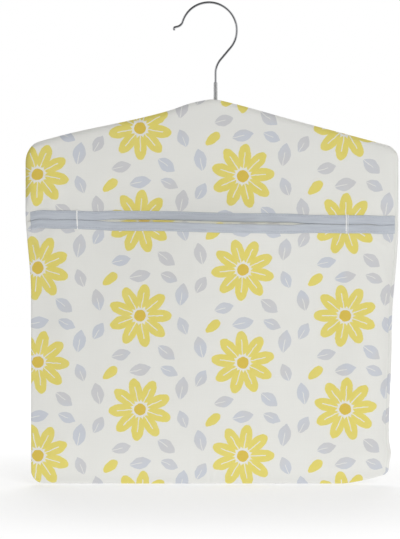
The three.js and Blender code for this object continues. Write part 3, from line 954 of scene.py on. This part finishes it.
def binding_profile(lip, towards):
    """Heights, and offsets from the middle of the cloth, from the leg's end in front to the one inside."""
    fold_centre = lip + towards * (FOLD_RADIUS + BINDING_CLOTH / 2)
    leg_end = lip + towards * BINDING_DEPTH
    leg = np.linspace(leg_end - towards * TURNED_EDGE, fold_centre, 6)
    turn = np.linspace(0, np.pi / 2, 4)
    end_z = leg[0] + towards * TURNED_EDGE * np.cos(turn)
    end_offset = FOLD_RADIUS - (1 - np.sin(turn)) * TURNED_DROP
    sweep = np.linspace(0, np.pi, 9)[1:-1]
    fold_z = fold_centre - towards * FOLD_RADIUS * np.sin(sweep)
    heights = [end_z, leg[1:], fold_z, leg[::-1], end_z[::-1][1:]]
    front = np.full(len(leg) - 1, FOLD_RADIUS)
    inner = np.full(len(leg), -FOLD_RADIUS)
    offsets = [end_offset, front, FOLD_RADIUS * np.cos(sweep), inner, -end_offset[::-1][1:]]
    return np.concatenate(heights), np.concatenate(offsets)


def bound_lip(name, us, lip, towards, place):
    """A binding with its row of stitches."""
    us = us[us * HALF_TOP > BINDING_SHORT - HALF_TOP]
    heights, offsets = binding_profile(lip, towards)
    u = us[:, None]
    x = u * HALF_TOP
    from_end = np.minimum(HALF_TOP - BINDING_SHORT + x, HALF_TOP * TO_SEAM - x)
    pinch = mix(PINCHED, 1, smooth(from_end / PINCH_LENGTH))
    points = place(u, heights, CLOTH / 2 + offsets * pinch)
    points[..., 1] = np.minimum(points[..., 1], -MID_PLANE_CLEAR)
    flat = stacked(x, lengths_along(stacked(heights, offsets)))
    shape = Shape()
    shape.sheet(points, flat, BINDING_CLOTH, flip=towards < 0)
    add_stitches(shape, us, lip + towards * (BINDING_DEPTH - STITCH_INSET), place)
    piece = shape.build(name, BOUND, GREY_THREAD)
    return piece


def add_stitches(shape, us, z, place):
    """A row of running stitches along a binding's front."""
    start, end = us[0] * HALF_TOP, us[-1] * HALF_TOP
    count = int((end - start) / STITCH_PITCH)
    surface = CLOTH / 2 + FOLD_RADIUS + BINDING_CLOTH / 2 + STITCH_RISE
    shares = np.linspace(-0.5, 0.5, len(STITCH_RISE))
    for k in range(1, count - 1):
        xs = start + (k + 0.5) * STITCH_PITCH + shares * STITCH_LENGTH
        path = place(xs / HALF_TOP, np.full_like(xs, z), surface)
        shape.tube(path, STITCH_THREAD, 6, slot=1)


upper = bound_lip("upper_lip_binding", FRONT_ACROSS, UPPER_LIP, 1, yoke_surface)
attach(upper, "bag")
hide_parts("upper_binding")
for side, word, us in HALVES:
    lower = bound_lip(f"lower_lip_binding_{word}", us, LOWER_LIP, -1, pocket_surface)
    bend_with_pocket(lower, side)
    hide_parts("lower_binding")

# Bar tacks: narrow columns of satin stitches across both lips, one on the left and two on the right
TACK_INSET = 0.85 * mm
TACK_MIDDLE = TACK_X - TACK_INSET
TACK_THREAD = 0.17 * mm
TACK_STEP = 0.24 * mm
TACK_OVERRUN = 0.6 * mm
TACK_CORE_RISE = 0.1 * mm
# Four points of each stitch: shares of its length, and how far they stand out
TACK_SHARES = np.array([-0.5, -0.2, 0.2, 0.5])
TACK_RISES = np.array([0.12, 0.85, 0.85, 0.12]) * 0.3 * mm


def tack_point(x, z, outwards):
    """A point in front of the bindings, which are level with each other at the bar tacks."""
    near = np.clip(z, LOWER_LIP - BINDING_DEPTH, UPPER_LIP + BINDING_DEPTH)
    return yoke_surface(x / HALF_TOP, near, outwards) + stacked(0, 0, z - near)


def bar_tack(word, side, columns):
    """columns are the distances from the tack's middle line and the widths of its columns of stitches."""
    low = LOWER_LIP - BINDING_DEPTH - TACK_OVERRUN
    high = UPPER_LIP + BINDING_DEPTH + TACK_OVERRUN
    face = CLOTH + LIP_CLEAR + BINDING_CLOTH
    number = np.arange(int((high - low) / TACK_STEP) + 1)[:, None]
    z = low + (number + TACK_SHARES + 0.5) * TACK_STEP
    rises = np.tile(TACK_RISES, len(number))
    core = np.linspace(low, high, 24)
    shape = Shape()
    for offset, width in columns:
        middle = side * TACK_MIDDLE + offset
        x = middle + np.where(number % 2, 1, -1) * TACK_SHARES * width
        shape.tube(tack_point(x.ravel(), z.ravel(), face + rises), TACK_THREAD, 6)
        shape.tube(tack_point(np.full_like(core, middle), core, face + TACK_CORE_RISE), TACK_THREAD, 6)
    piece = shape.build(f"bar_tack_thread_{word}", WHITE_THREAD)
    bend_with_pocket(piece, side)
    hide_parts(f"bar_tack_{word}")


bar_tack("left", -1, [(0, 1.25 * mm)])
bar_tack("right", 1, [(-0.6 * mm, 0.95 * mm), (0.9 * mm, 0.45 * mm)])

# Seam allowances inside the bag: two plies with an overlocked raw edge
OVERLOCK_PITCH = 2.6 * mm
OVERLOCK_BITE = 3.2 * mm
OVERLOCK_THREAD = 0.13 * mm
OVERLOCK_PAST = 0.2 * mm  # the loops stand out this far past the raw edge
OVERLOCK_CLEAR = 0.16 * mm
PLY_GAP = 0.03 * mm  # from the mid-plane to each ply
RAW_WAVE, RAW_WAVE_LENGTH = 0.12 * mm, 9 * mm  # the raw edge is uneven


def seam_allowance(name, node, edge, inwards, length):
    """edge holds points on the seam, and inwards is the direction to the raw edge, in x and z."""
    depth = np.linspace(0, 1, 6)
    wave = RAW_WAVE * np.sin(np.linspace(0, length / RAW_WAVE_LENGTH, len(edge)))
    step = np.array(inwards) * SEAM_ALLOWANCE
    across = edge[:, None] + step * depth[:, None]
    flat = stacked(np.linspace(0, length, len(edge))[:, None], depth * SEAM_ALLOWANCE)
    shape = Shape()
    for ply in (-1, 1):
        y = ply * (PLY / 2 + PLY_GAP) + wave[:, None] * depth
        shape.sheet(bag_points(across[..., 0], y, across[..., 1]), flat, PLY, flip=ply > 0)
    loops = int(length / OVERLOCK_PITCH)
    turn = np.linspace(0, 2 * np.pi * loops, 8 * loops + 1)
    at = np.linspace(0, len(edge) - 1, len(turn))
    raw_x, raw_z, lift = (np.interp(at, np.arange(len(edge)), part) for part in (*(edge + step).T, wave))
    back_off = (0.5 - 0.5 * np.cos(turn)) * OVERLOCK_BITE - OVERLOCK_PAST
    y = np.sin(turn) * (PLY + OVERLOCK_CLEAR) + lift
    path = bag_points(raw_x - inwards[0] * back_off, y, raw_z - inwards[1] * back_off)
    shape.tube(path, OVERLOCK_THREAD, 6, slot=1)
    piece = shape.build(name, SEAM, WHITE_THREAD)
    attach(piece, "bag")
    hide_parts(node)


SEAM_CLEAR = 0.4 * mm
SEAM_COLUMNS, SHOULDER_COLUMNS = 60, 48
for side, word in ((-1, "left"), (1, "right")):
    low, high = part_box(f"side_seam_{word}")
    z = np.linspace(low.z - PEAK_Z, high.z - PEAK_Z, SEAM_COLUMNS)
    edge = stacked(side * (half_width(side, z) - SEAM_CLEAR), z)
    seam_allowance(f"overlocked_side_seam_{word}", f"side_seam_{word}", edge, (-side, 0), high.z - low.z)

low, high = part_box("bottom_seam")
x = np.linspace(low.x - BAG_X, high.x - BAG_X, SEAM_COLUMNS)
edge = stacked(x, bottom_edge(x / LEFT_WIDTHS[1]) + SEAM_CLEAR)
seam_allowance("overlocked_bottom_seam", "bottom_seam", edge, (0, 1), high.x - low.x)

# Shoulder seams: each allowance folds back on itself in the narrow space over the hanger's edge
FOLDED_DEPTH = np.array([0.2, 0.8, 1.5, 2.1, 2.35, 2.35, 2.1, 1.5, 0.8, 0.25]) * mm
FOLDED_OUT = np.array([0.25, 0.25, 0.25, 0.28, 0.42, 0.68, 0.82, 0.88, 0.9, 0.92]) * mm


def shoulder_allowance(word, depth):
    """depth is how far the folded plies reach down, one value for each corner of their profile."""
    low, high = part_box(f"shoulder_seam_{word}")
    x = np.linspace(low.x - BAG_X, high.x - BAG_X, SHOULDER_COLUMNS)[:, None]
    z = top_edge(x / HALF_TOP) - depth
    steps = np.hypot(np.diff(depth), np.diff(FOLDED_OUT))
    flat = stacked(x, np.concatenate([[0], np.cumsum(steps)]))
    shape = Shape()
    for ply in (-1, 1):
        shape.sheet(bag_points(x, ply * FOLDED_OUT, z), flat, PLY, flip=ply > 0)
    piece = shape.build(f"shoulder_seam_allowance_{word}", SEAM)
    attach(piece, "bag")
    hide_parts(f"shoulder_seam_{word}")


shoulder_allowance("left", FOLDED_DEPTH)
shoulder_allowance("right", FOLDED_DEPTH - RIGHT_SAG * FOLDED_DEPTH / FOLDED_DEPTH.max())

# Hook: one bent wire, from the rivet under the hanger to its curled tip
WIRE_RADIUS = 1.1 * mm
CROWN_RADIUS = 25 * mm
CROWN_PAST_LEVEL = math.radians(40)
CROWN_SHORT_OF_LEVEL = math.radians(17)
SHANK_BEND_RADIUS = 18.5 * mm
SHANK_RISE = 24 * mm
LIP_BEND_RADIUS = 6 * mm
LIP_BEND = math.radians(59)
LIP_LENGTH = 2.5 * mm
TIP_CURL_RADIUS = 1.3 * mm
TIP_CURL = math.radians(118)
TIP_CURL_STEP = 0.3 * mm
TIP_DOME = 0.8  # height of the wire's rounded end, as a share of its radius
TIP_DOME_END = 0.97  # it closes with a small flat, not in a point
# The rivet's head: radius and height of its corners
RIVET = np.array([(0.02, 1.6), (2.3, 1.6), (2.3, 1), (2.1, 0.5), (1.5, 0.12), (0.02, 0)]) * mm


def arc(centre, radius, start, end, step=0.7 * mm):
    count = max(int(abs(end - start) * radius / step), 6)
    angles = np.linspace(start, end, count + 1)
    return centre + radius * stacked(np.cos(angles), np.sin(angles))


def ray(angle, length):
    return length * np.array([math.cos(angle), math.sin(angle)])


def wire_line():
    """The wire's centreline in x and z."""
    crown_centre = np.array([0.0, WIRE_RADIUS - CROWN_RADIUS])
    bend_foot = np.array([SHANK_X, PEAK_Z + SHANK_RISE])
    rivet_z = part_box("hook")[0].z + RIVET[0, 1] / 2
    shank = stacked(SHANK_X, np.linspace(rivet_z, bend_foot[1], 90))
    bend_centre = bend_foot + (SHANK_BEND_RADIUS, 0)
    bend = arc(bend_centre, SHANK_BEND_RADIUS, math.pi, math.pi - CROWN_PAST_LEVEL)
    crown_end = math.pi - CROWN_SHORT_OF_LEVEL
    crown = arc(crown_centre, CROWN_RADIUS, -CROWN_PAST_LEVEL, crown_end)
    diagonal = np.linspace(bend[-1], crown[0], 12)
    lip_centre = crown_centre + ray(crown_end, CROWN_RADIUS + LIP_BEND_RADIUS)
    lip_start = crown_end - math.pi
    lip_end = lip_start - LIP_BEND
    lip = arc(lip_centre, LIP_BEND_RADIUS, lip_start, lip_end)
    lip_tip = lip[-1] + ray(lip_end - math.pi / 2, LIP_LENGTH)
    straight = np.linspace(lip[-1], lip_tip, 6)
    curl_centre = lip_tip + ray(lip_end, TIP_CURL_RADIUS)
    curl_start = lip_end + math.pi
    curl = arc(curl_centre, TIP_CURL_RADIUS, curl_start, curl_start + TIP_CURL, TIP_CURL_STEP)
    runs = bend, diagonal, crown, lip, straight, curl
    return np.concatenate([shank, *(run[1:] for run in runs)])


def hook_wire():
    line = wire_line()
    dome = np.linspace(0, 1, 6)[1:]
    tip = line[-1] + np.outer(dome * WIRE_RADIUS * TIP_DOME, unit(line[-1] - line[-2]))
    radius = np.full(len(line) + len(dome), WIRE_RADIUS)
    radius[len(line):] = WIRE_RADIUS * np.sqrt(1 - (dome * TIP_DOME_END) ** 2)
    line = np.concatenate([line, tip])
    shape = Shape()
    shape.tube(stacked(line[:, 0], 0, line[:, 1]), radius, 20)
    shape.lathe(RIVET + (0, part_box("hook")[0].z), SHANK_X, 24)
    piece = shape.build("hook_wire", CHROME)
    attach(piece, "hook")
    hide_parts("hook")


hook_wire()

# Ferrule: a rolled tube with a crimped top
FERRULE_BORE = 1.4 * mm
FERRULE_RADIUS = 1.8 * mm
FOOT_BEVEL, TOP_BEVEL = (0.12 * mm, 0.15 * mm), (0.06 * mm, 0.1 * mm)  # width and height
CRIMP_DEPTH, CRIMP_LENGTH = 0.28 * mm, 1.3 * mm
CRIMP_START = 1.6 * mm  # below the top


def ferrule_tube():
    low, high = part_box("hook_ferrule")
    turn = np.linspace(0, np.pi / 2, 5)
    crimp_radius = FERRULE_RADIUS - CRIMP_DEPTH * (1 - np.cos(turn))
    crimp_z = high.z - CRIMP_START + CRIMP_LENGTH * np.sin(turn)
    profile = [
        (FERRULE_BORE, low.z),
        (FERRULE_RADIUS - FOOT_BEVEL[0], low.z),
        (FERRULE_RADIUS, low.z + FOOT_BEVEL[1]),
        *zip(crimp_radius, crimp_z),
        (FERRULE_BORE + TOP_BEVEL[0], high.z),
        (FERRULE_BORE, high.z - TOP_BEVEL[1]),
    ]
    shape = Shape()
    shape.lathe(profile[::-1], SHANK_X, 40)
    piece = shape.build("ferrule_tube", STEEL)
    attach(piece, "hanger")
    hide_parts("hook_ferrule")


ferrule_tube()


def dress(node, material):
    """A CAD node keeps its shape and gets a material."""
    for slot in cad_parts[node].material_slots:
        slot.material = material


dress("hanger_bar", WOOD)
dress("hook_washer", STEEL)

# Camera: level with the middle of the picture, from straight ahead
PICTURE_HEIGHT = 485.1 * mm  # what the picture's height shows, at the bag
CAMERA_DISTANCE = 1.5
CAMERA_X, CAMERA_Z = -0.0081, -0.2392


def make_camera():
    data = bpy.data.cameras.new("camera")
    data.lens = data.sensor_width * CAMERA_DISTANCE / PICTURE_HEIGHT
    camera = placed("camera", data)
    camera.location = CAMERA_X, -CAMERA_DISTANCE, CAMERA_Z
    camera.rotation_euler = math.pi / 2, 0, 0
    bpy.context.scene.camera = camera


# Stage and light
FLOOR_HALF = 4
FLOOR_GREY = 0.9, 0.9, 0.9, 1
WHITE = 1, 1, 1, 1
FLOOR_STRETCH = 0.7, 1, 0  # the shade reaches further sideways
FLOOR_DROP = 1.2 * mm
FLOOR_SHADE = 0.5  # share of the floor's look near the bag that takes shadow
SHADE_NEAR, SHADE_FAR = 0.06, 0.52
FLOOR_WHITE = 1.1  # glow that makes the floor white together with the light on it
BOUNCE_NEAR, BOUNCE_FAR = 0.2, 0.55  # the floor throws light up on the bag from this near
ROOM_DARK, ROOM_BRIGHT = 0.13, 1.0  # what metal mirrors: the room behind the camera, and the white backdrop
BACKDROP_SPAN = 0.6, 1.0  # share of a mirrored ray's direction that points backwards
SIDE_AXIS = 0.98, 0, 0.2  # bright panels stand to the left and right
SIDE_SPAN = 0.38, 0.66
DIM_FLOOR = -0.6, -0.05  # in front of the bag metal mirrors a dim floor
AMBIENT = 0.375


def make_floor():
    """White to the camera, with the bag's shadow near it. It lights the bag from below, like a table."""
    mesh = bpy.data.meshes.new("floor")
    z = cad_box[0].z - FLOOR_DROP
    signs = (-1, -1), (1, -1), (1, 1), (-1, 1)
    corners = [(x * FLOOR_HALF, y * FLOOR_HALF, z) for x, y in signs]
    mesh.from_pydata(corners, [], [(0, 1, 2, 3)])
    material = bpy.data.materials.new("floor")
    material.use_nodes = True
    material.node_tree.nodes.clear()
    nodes = Nodes(material.node_tree)
    place = nodes.add("TexCoord").outputs["Object"]
    stretched = nodes.add("VectorMath", place, FLOOR_STRETCH, operation="MULTIPLY").outputs[0]
    reach = nodes.add("VectorMath", stretched, operation="LENGTH").outputs["Value"]
    glowing = nodes.ranged(reach, SHADE_NEAR, SHADE_FAR, 1 - FLOOR_SHADE, 1, kind="SMOOTHSTEP")
    bounce = nodes.ranged(reach, BOUNCE_NEAR, BOUNCE_FAR, 1, 0)
    path = nodes.add("LightPath").outputs
    mirror = path["Is Glossy Ray"]
    seen = nodes.either(nodes.either(path["Is Camera Ray"], mirror), path["Is Transmission Ray"])
    depth = nodes.add("SeparateXYZ", place).outputs["Y"]
    mirrored = nodes.ranged(depth, *DIM_FLOOR, ROOM_DARK, FLOOR_WHITE)
    matte = nodes.add("BsdfDiffuse", FLOOR_GREY).outputs[0]
    glow = nodes.add("Emission", WHITE, nodes.choose(mirror, FLOOR_WHITE, mirrored)).outputs[0]
    both = nodes.add("MixShader", nodes.choose(seen, bounce, glowing), matte, glow).outputs[0]
    nodes.add("OutputMaterial", both)
    mesh.materials.append(material)
    floor = placed("floor", mesh)


def make_world():
    """White where it is seen, a softer light on the object, and for metal a dim room with bright sides."""
    world = bpy.data.worlds.new("studio")
    world.use_nodes = True
    nodes = Nodes(world.node_tree)
    path = nodes.add("LightPath").outputs
    direction = nodes.add("TexCoord").outputs["Generated"]
    backwards = nodes.add("SeparateXYZ", direction).outputs["Y"]
    along_sides = nodes.add("VectorMath", direction, SIDE_AXIS, operation="DOT_PRODUCT").outputs["Value"]
    sideways = nodes.add("Math", along_sides, operation="ABSOLUTE").outputs[0]
    backdrop = nodes.ranged(backwards, *BACKDROP_SPAN, ROOM_DARK, ROOM_BRIGHT, kind="SMOOTHSTEP")
    panels = nodes.ranged(sideways, *SIDE_SPAN, ROOM_DARK, ROOM_BRIGHT, kind="SMOOTHSTEP")
    seen = nodes.either(path["Is Camera Ray"], path["Is Transmission Ray"])
    plain = nodes.ranged(seen, 0, 1, AMBIENT, 1)
    background = world.node_tree.nodes["Background"].inputs
    nodes.join(background["Color"], WHITE)
    strength = nodes.choose(path["Is Glossy Ray"], plain, nodes.either(backdrop, panels))
    nodes.join(background["Strength"], strength)
    bpy.context.scene.world = world


LAMP_TARGET = 0, 0, -0.3


def softbox(name, place, size, power):
    data = bpy.data.lights.new(name, "AREA")
    data.shape = "SQUARE"
    data.size = size
    data.energy = power
    lamp = placed(name, data)
    direction = np.array(LAMP_TARGET) - np.array(place)
    lamp.location = place
    yaw = math.atan2(direction[0], direction[1])
    pitch = math.asin(direction[2] / np.linalg.norm(direction))
    lamp.rotation_euler = math.pi / 2 + pitch, 0, -yaw
    lamp.visible_glossy = False  # metal mirrors the dim room alone


make_camera()
make_floor()
make_world()
softbox("key", place=(0.8, -1.9, 0.5), size=1.1, power=23)
softbox("back", place=(0, 1.3, 0.9), size=1.2, power=18)
bpy.context.scene.view_settings.view_transform = "Standard"
